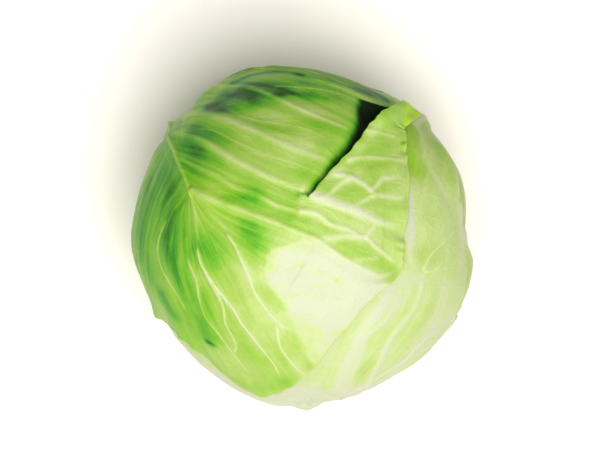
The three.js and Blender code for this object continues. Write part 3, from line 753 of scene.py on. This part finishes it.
# Patches of deeper and paler green: amount, width in degrees, and the line that it lies along.
PATCHES_1 = [
    (0.25, 14, [-68.5, 21], [-69, -1], [-65, -22.5]),
    (0.2, 15, [-57, 43], [-51.5, 14.5], [-48.5, -2.5]),
    (0.35, 8, [-49.5, 1], [-47.5, -11.5], [-40.5, -18], [-38.5, -27.5], [-35.5, -37.5]),
    (0.22, 8, [-42, 41.5], [-28, 34.5]),
    (0.34, 7, [-36, 57], [-22, 55], [-10, 52]),
    (0.3, 7, [-30, 66], [-16, 58], [2, 54]),
    (0.25, 9, [-30, 84], [-5, 78], [20, 68], [34, 60]),
    (0.2, 6, [-13.5, 37], [4.5, 38.5]),
    (0.2, 5, [-7, 53], [13.5, 52.5]),
    (0.25, 6, [-33, 84], [-8, 71]),
    (0.42, 4.5, [-24, 12.8], [-15.5, 13.8]),
    (0.4, 8, [-16.5, 2.5], [-13, -4]),
    (0.12, 14, [-32, -26], [-22, -38], [-12, -46]),
    (0.3, 8, [-41.8, 39], [-36.9, 23.9]),
    (0.12, 6, [-34, 36.5], [-28, 39.3]),
    (0.1, 9, [-53, 25], [-48.5, 7]),
    (-0.22, 12, [-22, 35], [-16, 30], [-6, 27]),
    (0.4, 6, [-38.3, 53], [-28.2, 49.5], [-18.9, 49]),
    (-0.12, 6, [-1.52, 49.9], [5.82, 46.3], [12.3, 43.9]),
    (-0.13, 6, [-71.7, -12.5], [-73, -22], [-80.3, -38.2]),
    (-0.13, 6, [-37.7, -10.4], [-40, -26.2]),
    (0.1, 14, [-34.1, -33.8], [-21.2, -41.4], [-5.99, -37.2]),
    (0.14, 7, [-44.8, 25], [-44.7, 10.5]),
    (0.3, 2, [1.26, 14.3], [5.22, 18.3]),
    (0.3, 4, [-34, 61.5], [-19.6, 54.7]),
    (0.1, 8, [-48.1, -21.1], [-46.2, -30.4], [-40.5, -42.3]),
    (0.2, 3, [19.5, 59.6], [35, 58]),
    (-0.1, 7, [-47.6, 2.43], [-47.9, -4.24]),
    (0.1, 12, [24, 22], [28, 8]),
    # Thin deep streaks along the top rim: partly the leaf's own deeper green between its veins, partly
    # painted shade along the folds there.
    (0.5, 2.6, [-34, 77], [-20, 80], [-6, 77]),
    (0.5, 2.6, [-30, 69], [-16, 70.5], [0, 66]),
    (0.45, 2.4, [-2, 66], [12, 62.5], [28, 60]),
    (0.25, 2.2, [-0.5, 60], [10.5, 58.5], [18.5, 55.5]),
    (0.2, 2, [-10, 52.5], [0.5, 53.5], [9, 51]),
    (0.3, 2, [-5.5, 74], [12, 70], [24, 66.5], [36, 60]),
    (-0.2, 5, [-64.5, -23], [-63.5, -34]),
    (0.1, 6, [-51, 20], [-44, 17.5], [-37, 15]),
    (0.08, 6, [-32, 24.5], [-26.5, 19]),
    (-0.1, 4, [-38, 1.5], [-43, -5]),
    (0.1, 5, [-23, 41], [-18, 40]),
    (-0.08, 3, [-13, -5], [-10, -3.5]),
    (-0.12, 4, [0, -46], [2, -53]),
    (-0.12, 2.5, [15.5, 18.5], [21, 24]),
    (0.25, 2, [9, 23.5], [12, 28]),
    (-0.1, 4, [-43.5, -10], [-42.5, -15]),
    (-0.12, 4.5, [-38.5, -20], [-37, -26], [-33, -34]),
    (-0.14, 5, [-3, -45], [0, -52.5], [7.5, -49]),
    (0.1, 6, [-36.5, 50], [-26, 47.5], [-18, 46]),
    (-0.1, 5, [2, 44.5], [7, 45]),
    (-0.12, 6, [-26, -9], [-19, -11], [-12, -13.5]),
    (-0.2, 3, [8.5, 20], [15, 25], [21, 32], [26.5, 39]),
    (0.08, 6, [11, 9.5], [9, 6]),
    (0.35, 1.5, [-1, 14], [2, 14.6]),
    (0.5, 0.9, [36, 34.3], [38.4, 35]),
    (0.3, 4, [-24, 62], [-14, 60], [-6, 58]),
    (0.5, 2, [-37, -40.5], [-34.5, -41.5]),
    (0.12, 1.6, [9, -37.7], [8, -40], [5.6, -41], [3, -40], [2.2, -37.7], [3, -35], [5.6, -34.3],
        [8, -35.4], [9, -37.7]),
    (0.1, 1.8, [-1, -13], [6, -15.5], [13, -13], [20, -16]),
    (0.1, 1.8, [0, -26], [7, -24.5], [13, -28]),
    (0.12, 3, [2, -30], [10, -33], [18, -30]),
    (0.1, 4, [16, -24], [24, -22]),
    # Deeper green along the creases: painted shade in the creases.
    *[(0.13, 1.8, *path) for path in CREASES],
    (0.3, 8, [-32, -2.5], [-29, -7.5]),
    (0.2, 6, [-38, -0.5], [-36.5, -8.5]),
    (0.15, 7, [-4, 5], [7.5, 2]),
    (0.25, 6, [14, -3], [29.5, -10.5]),
    (0.15, 6, [-12.5, -17], [-7.5, -21.5]),
    (0.15, 6, [-57.5, -41.5], [-45.5, -48.5], [-32, -59], [-21, -62], [-7, -56.5], [3, -45.5]),
    (0.2, 5, [-28.5, 85.5], [-6, 80], [12, 65.5], [35.5, 60]),
    (-0.3, 10, [-24, 48], [-8, 42], [2, 34.5]),
    (-0.15, 10, [-9.5, -4.5], [-7, -7.5]),
    (-0.2, 35, [2.5, -15], [14, -20.5]),
    (0.3, 5, [-57.5, -23.5], [-52.5, -32]),
]

# Yellower green: the rim over the top, the fork of the midrib, and the folded corner of the loose side.
WARM_1 = [
    (0.55, 10, [-20, 80], [5, 76], [20, 71]),
    (0.25, 12, [-40, 18], [-28, 12]),
]
LOBE = np.array([[37, 49], [41, 54], [62, 64], [48, 40], [38.5, 37]])
LOBE_GREEN = [(0.6, 3, [42, 46], [46, 46.5]), (0.4, 4, [53, 56], [60, 60])]


def warm_1(p):
    lobe = smooth(depth_in(LOBE, p) / 1.2) - patched(p, LOBE_GREEN)
    return np.maximum(patched(p, WARM_1), lobe)


# The facet of the blade below the strongest side rib, painted almost white: partly its own pale tone, partly
# a painted highlight of the key softbox's reflection.
FACET = np.array(
    [[-11.7, -4.6], [-9.8, -3], [-3.3, -1.3], [0.3, 0.6], [5.1, -0.4], [9, -3.3], [14, -6.6], [19.8, -9.6]]
    + [[26.2, -12.2], [34.6, -21.7], [43.4, -67.2], [12.1, -65.4], [3.7, -47], [-0.7, -35.2], [-6, -22]]
    + [[-11.3, -15.2], [-12.5, -9.6]]
)
FACET_PALE_AND_HIGHLIGHT = 0.25
BASE_GREEN = 0.48


def green_1(p):
    """Deep green towards the base of the leaf, pale towards its tip, and paler on the facet: partly its own
    tone, partly a painted highlight.
    """
    towards_tip = (p[:, 0] - p[:, 1]) * 0.7071
    deep = BASE_GREEN - 0.12 * np.tanh((towards_tip + 2) / 10) + 0.1 * smooth((-towards_tip - 8) / 45)
    inwards = depth_in(FACET, p)
    # The facet is made paler: partly the leaf's pale tone, partly painted highlight.
    return deep - FACET_PALE_AND_HIGHLIGHT * (0.75 * smooth(inwards / 1.5) + 0.25 * smooth(inwards / 12))


def bay(deep, start, rise, end, fall, u):
    """How far a torn edge is drawn back at columns u, in steps: full from start + rise to end."""
    return deep * smooth((u - start) / rise) * (1 - smooth((u - end) / fall))


def torn(p, u, t, part):
    """The tear: sheet 0 dips under the loose side, and sheet 1, the loose side, stands up along it."""
    mouth, tip = TEAR
    share = (tip - u) / (tip - mouth)
    openness = smooth(share)
    opening = np.where(u < mouth, 0, clamp01(share))
    # Near its tip the tear gapes, and further up its edge slides under the loose side.
    slit = SLIT * smooth(opening * 8) * (1 - smooth((opening - 0.2) / 0.3))
    slide = (TUCK * smooth((opening - 0.3) / 0.4) - slit) * clamp01(t / TEAR_STEP) ** 4
    before = place(LEAF_1, u, np.maximum(0, t - STEP_BACK))
    along = p - before
    along /= np.maximum(np.hypot(along[:, 0], along[:, 1]), 1e-6)[:, None]
    dips = (part == 0) & (t > STEP_BACK)
    moved = np.where(dips[:, None], p + slide[:, None] * along, p)
    loose = part == 1
    ragged = bay(0.3, 5.7, 0.3, 6, 1, u) + 0.05 * np.sin(8 * u) + 0.04 * np.sin(17 * u + 2)
    ragged += bay(0.22, 3.4, 0.6, 5.8, 0.8, u)
    drawn_back = t - ragged * openness**0.3 * (1 - smooth(t - TEAR_STEP))
    moved[loose] = place(FLAP, u[loose] - mouth, drawn_back[loose])
    near = smooth(t - 2)
    rise = openness * CREST_RISE * smooth(t / 2) * (1 - near) - hollow(p)[0]
    down = (t - TEAR_STEP) / FLAP_STEPS
    corner = clamp01(down - (u - mouth))
    up = FLAP_LIFT * openness * (1 - FLAP_SINK * smooth(down)) - CORNER_FOLD * corner
    lift = np.where(loose, up, np.where(part == 0, rise, 0) + patched(p, LUMPS))
    return moved, lift, np.where(part == 0, 1 - openness * near, 1)


blade_1 = Blade(LEAF_1, TEAR, FLAP)
mouth, tip = TEAR
last, reach = blade_1.last, blade_1.reach
COLUMN_PARTS = 14
STEP_PARTS = 24
# Sheet 0 lies under the loose side of the tear, sheet 1 is that side, and sheet 2 is the rest of the blade.
# Each has its columns and steps. Under the mouth, where fine veins cross the rim, the columns are closer.
dipping = [even(0, 4, COLUMN_PARTS), even(4, 6, 2 * COLUMN_PARTS)[1:], even(6, tip, COLUMN_PARTS)[1:]]
SHEETS_1 = [
    (0, np.concatenate(dipping), even(0, TEAR_STEP, STEP_PARTS)),
    (1, even(mouth, tip, STEP_PARTS), even(TEAR_STEP, reach, STEP_PARTS)),
    (2, even(tip, last, COLUMN_PARTS), even(0, reach, STEP_PARTS)),
]
leaf_1 = leaf("top_leaf", blade_1, [], SHEETS_1, RIBS_1, PATCHES_1, green_1, 0, warm_1, torn, (tip,))
leaf_1.data.materials.append(leaf_finish("top_leaf_skin", 0.38))
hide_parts("leaf_1")
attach(leaf_1, "root")

# ---- leaf_2 ---------------------------
# The second wrapper leaf, a paler blade that comes up from the front of the stalk and covers the right side
# of the head. Its broad white midrib runs up beside the free margin of the top leaf.

# Its net, like that of leaf_1.
LEAF_2 = np.array(
    [
        [at(272, 166.2), at(266, 166.2), at(260, 166), at(253, 165.8), at(245, 165.4)],
        [at(272, 146), at(263, 146), at(254, 145), at(244, 143), at(235, 141)],
        [at(272, 126), at(260, 124), at(248, 121), at(235, 118), at(222, 115)],
        [at(272, 105), at(258, 101), at(244, 97), at(230, 93), at(217, 90)],
        [[3, -86], [-20, -78], [-40, -62], [-58, -42], [-68, -22]],
        [[3, -86], [-16, -68], [-32, -44], [-46, -18], [-54, 4]],
        [[3, -86], [-7, -62], [-14, -34], [-22, -6], [-28, 22]],
        [[3, -86], [3, -58], [4, -30], [3, 2], [-2, 38]],
        [[3, -86], [11, -58], [20, -30], [27, 6], [38, 52]],
        [[3, -86], [17, -58], [31, -30], [43, 4], [60, 42]],
        [[3, -86], [23, -58], [39, -34], [52, -8], [71, 10]],
        [[3, -86], [28, -60], [46, -42], [64, -29], at(348, 87)],
        [[3, -86], [30, -62], [46, -50], [62, -45], at(333, 91)],
        [at(272, 105), at(287, 101), at(303, 98), at(320, 98), at(334, 100)],
        [at(272, 126), at(284, 125), at(297, 122), at(310, 119), at(324, 116)],
        [at(272, 146), at(282, 146), at(292, 145), at(302, 143), at(311, 141)],
        [at(272, 166.2), at(279, 166.2), at(286, 166), at(292, 165.8), at(299, 165.4)],
    ]
)
RIBS_2 = [
    (2.4, 1.6, 0, 0.8, at(272, 166), at(272, 126), at(272, 100), [3, -84]),
    (3.6, 1.2, 0.8, 0.3, [3, -84], [13.3, -78.8], [15.2, -61.9], [18.1, -45.2], [22.5, -32.7],
        [28.9, -23.1], [34, -17]),
    (2, 0.8, 0.6, 0.3, [14, -74], [19.5, -66.5], [19.5, -55.6], [22.1, -44.4], [23.3, -35.8], [30.5, -29.2],
        [36.5, -21.1]),
    (2, 1, 0.9, 0.4, [14, -80], [23.9, -76.3], [27.9, -68.2], [32.4, -39.4], [40.5, -27.1], [43.7, -19.5],
        [44.6, -12.1]),
    (1.2, 0.8, 0.8, 0.45, [16, -80], [26.7, -75.4], [36.2, -71.4], [42.6, -52.9], [52.3, -40.5],
        [71.8, -35.6], [80, -34]),
    (1, 0.6, 0.3, 0.35, [44.6, -12.1], [48.4, -6.1], [56.6, -0.6], [64.4, 4.4]),
    (2.2, 0.9, 0.4, 0.6, [34.7, 24], [38, 17.3], [39.4, 11.6], [40.4, 1.3], [39.3, -5], [41, -12]),
    (0.9, 0.5, 0, 0.3, [50, -34], [52.5, -29], [54, -20.5], [57.5, -5], [59.5, 0]),
    (0.8, 0.5, 0, 0.3, [45, -12.5], [51, -11.5], [57.5, -5]),
    (1.8, 0.5, 0.4, 0.35, [54, 56], [52.9, 51.7], [50.4, 40.3], [49.2, 30.6], [54.3, 22.2], [60, 16]),
    (1.4, 0.4, 0, 0.2, [43, 44], [44.5, 34], [46, 24], [47, 12]),
    (0.9, 0.6, 0, 0.55, [3, -84], [4.5, -72], [-5, -69.5], [-17, -67], [-27.5, -60.5], [-39, -48]),
    (0.8, 0.6, 0, 0.55, [3, -84], [5, -72], [-1, -65], [-7, -61.5]),
]
RIBS_2 += fan(LEAF_2, (1, 2, 3), 0.1, 3.8, 1.2, 0.5)
RIBS_2 += fan(LEAF_2, (12, 13, 14, 15), 0.1, 3.8, 1.2, 0.5)
PATCHES_2 = [
    (0.4, 9, [46, 46], [42.3, 40.6], [41.6, 33.5], [43.3, 27.5]),
    (0.1, 6, [22, -68], [25, -52], [28, -38], [36, -27]),
    (0.1, 6, [31, -66], [37, -48], [46, -34], [50, -20]),
    (0.1, 6, [48, -60], [60, -50], [70, -44]),
    (0.16, 8, [33.5, -7], [49, -8]),
    (0.2, 8, [58.5, 45.5], [60.5, 24]),
    (0.12, 7, [43.5, -21], [37.5, -39]),
    (0.1, 7, [12, -63], [27, -50]),
    (0.6, 1.6, [68, 16], [70, 17]),
    (0.2, 3, [76, -19], [74, -27], [74, -34]),
    (-0.1, 6, [37, 16], [37.5, 4], [38, -8]),
    (-0.1, 12, [33.5, -21.9], [49.2, -18.8]),
    (-0.2, 8, [67.8, 18.6], [75.2, -0.842]),
    (-0.14, 7, [63.5, 49], [69.5, 40], [73.5, 20]),
    (-0.13, 4, [30.5, -14], [42.5, -15]),
    (0.08, 6, [57.5, -13.5], [57, -9]),
    (-0.1, 5, [60, 30], [58.5, 22.5], [57.5, 11]),
    (-0.1, 5, [70, 12], [70, 0], [68, -10]),
    (0.18, 5, [73.5, -5.5], [84, -33], [71, -55]),
]
WARM_2 = [(0.5, 3, [76, -19], [74, -27], [74, -34]), (0.45, 8, [47, 47], [43, 40], [42, 30])]
PALE_GREEN = 0.12
MARGIN_GREEN = 0.16
BASE_WHITE = 0.22
LOW_GREEN = 0.3


def warm_2(p):
    return patched(p, WARM_2)


def green_2(p):
    """Almost white at the base, light green towards the margin, and greener low on its side."""
    polar = np.hypot(p[:, 0], p[:, 1])
    low = smooth((polar - 84) / 22) * smooth((p[:, 0] - 8) / 45) * (1 - smooth((polar - 125) / 35))
    margin = MARGIN_GREEN * smooth((p[:, 1] + 40) / 60)
    return PALE_GREEN + margin - BASE_WHITE * smooth((-55 - p[:, 1]) / 20) + LOW_GREEN * low


blade_2 = Blade(LEAF_2)
SHEETS_2 = [(0, even(0, blade_2.last, 13), even(0, blade_2.reach, 32))]
leaf_2 = leaf("second_leaf", blade_2, [blade_1], SHEETS_2, RIBS_2, PATCHES_2, green_2, 1, warm_2)
leaf_2.data.materials.append(leaf_finish("second_leaf_skin", 0.36))
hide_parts("leaf_2")
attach(leaf_2, "root")

# ---- leaf_3, leaf_4, leaf_5 -----------
# The wrapper leaves under them, each grown from its own side of the stalk and folded over the head. Only
# their backs show, low on the sides, where the midribs stand out broad and pale.

# The net that all three share, with the midrib towards +X.
WRAPPER = np.array(
    [
        [at(0, 166), at(-7, 166), at(-13, 165.8), at(-20, 165.6), at(-27, 165.2)],
        [at(0, 145), at(-10, 145), at(-20, 144), at(-30, 142), at(-39, 140)],
        [at(0, 122), at(-14, 121), at(-29, 118), at(-44, 115), at(-57, 112)],
        [at(0, 98), at(-17, 93), at(-35, 88), at(-53, 86), at(-70, 87)],
        [[76, 0], [66, -22], [50, -46], [29, -64], [3, -74]],
        [[76, 0], [58, -20], [36, -40], [9, -54], [-21, -55]],
        [[76, 0], [50, -12], [23, -23], [-7, -31], [-37, -30]],
        [[76, 0], [48, 0], [18, 1], [-13, 1], [-44, 2]],
        [[76, 0], [50, 12], [23, 24], [-7, 32], [-36, 33]],
        [[76, 0], [58, 20], [36, 41], [10, 55], [-19, 57]],
        [[76, 0], [66, 22], [51, 46], [31, 64], [6, 75]],
        [at(0, 98), at(17, 93), at(35, 88), at(53, 86), at(71, 86)],
        [at(0, 122), at(14, 121), at(29, 118), at(44, 115), at(58, 112)],
        [at(0, 145), at(10, 145), at(20, 144), at(30, 142), at(40, 140)],
        [at(0, 166), at(7, 166), at(13, 165.8), at(20, 165.6), at(27, 165.2)],
    ]
)
# Each leaf's number, azimuth, how much wider it is than the pattern, and how green.
WRAPPERS = [(3, 45, 1, 0.42), (4, 184, 0.97, 0.36), (5, 318, 1.02, 0.3)]
WRAPPER_RIBS = (1, 2, 3, 4, 5, 6, 8, 9, 10, 11, 12, 13)  # all columns but the midrib's and the outermost
above = [blade_1, blade_2]
for number, azimuth, stretch, base_green in WRAPPERS:
    a = np.radians(azimuth)
    x, y = WRAPPER[..., 0], WRAPPER[..., 1] * stretch
    net = np.stack([x * np.cos(a) - y * np.sin(a), x * np.sin(a) + y * np.cos(a)], axis=-1)
    spine = place(net, [0, 1, 2, 3, 4, 7], [0, 0, 0, 0, 0, 1.5])
    ribs = [(2.4, 1.6, 0, 0.8, *spine)] + fan(net, WRAPPER_RIBS, 0.1, 3.8, 1.2, 0.55)
    blade = Blade(net)
    sheets = [(0, even(0, blade.last, 12), even(0, blade.reach, 32))]

    def paling(p):
        return base_green - 0.25 * smooth((np.hypot(p[:, 0], p[:, 1]) - 95) / 60)

    made = leaf(f"under_leaf_{number}", blade, above, sheets, ribs, [], paling, number)
    made.data.materials.append(leaf_finish(f"under_leaf_skin_{number}", 0.4))
    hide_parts(f"leaf_{number}")
    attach(made, "root")
    above.append(blade)

# ---- heart ----------------------------
# The tight inner leaves, which no longer come apart and stand as one body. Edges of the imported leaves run
# round it as low steps that die out at the crown and the foot.

HEART_FLOOR = 26.6  # height of its flat underside, above the stalk
HEART_CLEAR = 1.3
FOLDS = 3
FOLD_TWIST = 2.2  # turns of a fold's edge between crown and foot, in folds
FOLD_DEEP = 1.4

bm = bmesh.new()
bmesh.ops.create_uvsphere(bm, u_segments=120, v_segments=72, radius=1)
mesh = to_mesh(bm, "heart")
ball = np.zeros(len(mesh.vertices) * 3, np.float32)
mesh.vertices.foreach_get("co", ball)
ball = ball.reshape(-1, 3).astype(float)
polar = np.degrees(np.arccos(np.clip(ball[:, 2], -1, 1)))
azimuth = np.degrees(np.arctan2(ball[:, 1], ball[:, 0])) % 360
p = np.column_stack(at(azimuth, polar))
turn = FOLDS * azimuth / 360 + FOLD_TWIST * polar / 180
fold = FOLD_DEEP * (turn % 1) * np.sin(np.radians(polar))
spots = on_head(p, under(above, p)[0] - HEART_CLEAR - fold)
spots[:, 2] = np.maximum(spots[:, 2], HEART_FLOOR)
rounded(mesh, spots)
heart = add("inner_heart", mesh)

made, skin, spot = new_finish("heart_skin")
mottle = spot.cloud(28.0, 4.0)
net = spot.veins(70.0, 0.1)
blade_colour = mottle.between(0.3, 0.7).blend(linear(226, 232, 178), linear(204, 220, 140))
(net * 0.4).blend(blade_colour, linear(238, 240, 214)).feeds(skin["Base Color"])
net.relief(0.4, 0.8 * MM).feeds(skin["Normal"])
(0.4 + mottle * 0.12).feeds(skin["Roughness"])
heart.data.materials.append(made)
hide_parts("heart")
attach(heart, "root")

# ---- stalk ----------------------------
# The stump of the stem, cut square with a knife close under the leaves. The head stands on the cut, whose
# pale pith is ringed by a fibrous band under the green rind.

CUT_RINGS = (4, 8, 11, 13, 15, 16.5)
STALK = [(0, 17.5), (0.35, 17.9), (1, 18.2), (6, 18.6), (11, 19.6), (16, 19.2), (22, 17.2), (26, 15.5)]
FLUTES = 5
FLUTE_DEEP = 0.25
FIBRE_DEEP = 0.12
FIBRES = (900, 900, 60)  # fine across the stalk and long down it
RIND_FROM = 12  # the flutes leave the cut face, the top and all within this radius flat
FLUTED = (0.5, 25.5)

bm = bmesh.new()
profile = [bm.verts.new((0, 0, 0))]
for r in CUT_RINGS:
    profile.append(bm.verts.new((r * MM, 0, 0)))
for z, r in STALK:
    profile.append(bm.verts.new((r * MM, 0, z * MM)))
profile.append(bm.verts.new((0, 0, STALK[-1][0] * MM)))
edges = [bm.edges.new(pair) for pair in zip(profile[:-1], profile[1:])]
turned = {"cent": (0, 0, 0), "axis": (0, 0, 1), "angle": np.radians(360)}
bmesh.ops.spin(bm, geom=profile + edges, steps=96, use_merge=True, **turned)
bmesh.ops.remove_doubles(bm, verts=bm.verts, dist=1e-6)
bmesh.ops.recalc_face_normals(bm, faces=bm.faces)
for v in bm.verts:
    r = v.co.xy.length
    if r > RIND_FROM * MM and FLUTED[0] * MM < v.co.z < FLUTED[1] * MM:
        flute = FLUTE_DEEP * np.cos(FLUTES * np.arctan2(v.co.y, v.co.x))
        fibre = FIBRE_DEEP * noise.noise(Vector([c * fine for c, fine in zip(v.co, FIBRES)]))
        v.co.xy *= 1 + MM * (flute + fibre) / r
mesh = to_mesh(bm, "stalk")
shade_smooth(mesh)
stalk = add("cut_stalk", mesh)

made, skin, spot = new_finish("stalk_flesh")
across = spot.scaled((1, 1, 0))
radius = across.node("VectorMath", {"operation": "LENGTH"}, {0: across}, "Value")
fibres = spot.scaled(FIBRES).cloud(1.0, 3.0)
grain = spot.cloud(300.0, 3.0)
ring = radius.between(0.0105, 0.0125) * (1 - radius.between(0.0135, 0.0152))
pith = (ring * 0.6 + grain * 0.25).blend(linear(236, 234, 206), linear(196, 204, 142))
rind = fibres.between(0.35, 0.65).blend(linear(206, 216, 160), linear(178, 196, 122))
radius.between(0.0166, 0.0176).blend(pith, rind).feeds(skin["Base Color"])
(fibres * 0.6 + grain * 0.4).relief(0.5, 0.6 * MM).feeds(skin["Normal"])
(0.5 + grain * 0.2).feeds(skin["Roughness"])
stalk.data.materials.append(made)
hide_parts("stalk")
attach(stalk, "root")

# ---- floor, lights and camera ---------
# A matt white floor that the head stands on, a large softbox hung high on the near side, two faint ones
# opposite it, a dim white sky for fill, and a camera that looks straight down.

FLOOR_DROP = 0.3

bm = bmesh.new()
bmesh.ops.create_grid(bm, x_segments=1, y_segments=1, size=4)
floor = add("floor", to_mesh(bm, "floor"))
floor.location.z = -FLOOR_DROP * MM
made, skin, spot = new_finish("floor_paint")
spot.cloud(3.0).blend(linear(255, 249, 239), linear(255, 250, 242)).feeds(skin["Base Color"])
skin["Roughness"].default_value = 0.9
floor.data.materials.append(made)


def softbox(name, azimuth, elevation, distance, width, height, power):
    """An area light aimed at the middle of the head: angles in degrees, lengths in metres and watts."""
    lamp = bpy.data.lights.new(name, "AREA")
    lamp.shape = "RECTANGLE"
    lamp.size = width
    lamp.size_y = height
    lamp.energy = power
    made = add(name, lamp)
    a, e = np.radians(azimuth), np.radians(elevation)
    away = Vector((np.cos(a) * np.cos(e), np.sin(a) * np.cos(e), np.sin(e)))
    made.location = Vector((0, 0, CENTRE_Z * MM)) + away * distance
    made.rotation_mode = "QUATERNION"
    made.rotation_quaternion = away.to_track_quat("Z", "Y")
    made.visible_camera = False


softbox("key_softbox", -66, 70, 2.0, 1.3, 1.5, 55.5)
softbox("top_softbox", 150, 75, 1.5, 1.0, 1.0, 4)
softbox("side_softbox", 190, 28, 1.5, 1.0, 0.8, 3)
world = bpy.data.worlds.new("sky")
world.use_nodes = True
sky = world.node_tree.nodes["Background"].inputs
sky["Color"].default_value = (1, 1, 1, 1)
sky["Strength"].default_value = 0.07
bpy.context.scene.world = world
bpy.context.scene.view_settings.view_transform = "Standard"

CAMERA_RISE = 1.2  # metres above the widest part of the head
VIEW_WIDE = 600  # pixels, each of this size at that part
PIXEL = 0.506 * MM
SENSOR = 36
camera = add("camera", bpy.data.cameras.new("camera"))
camera.data.sensor_width = SENSOR
camera.data.lens = SENSOR * CAMERA_RISE / (VIEW_WIDE * PIXEL)
camera.location = (-2 * PIXEL, 13 * PIXEL, CENTRE_Z * MM + CAMERA_RISE)
camera.rotation_euler = (0, 0, 0)
camera.data.clip_start = 0.05
camera.data.clip_end = 50
bpy.context.scene.camera = camera

bpy.context.view_layer.update()
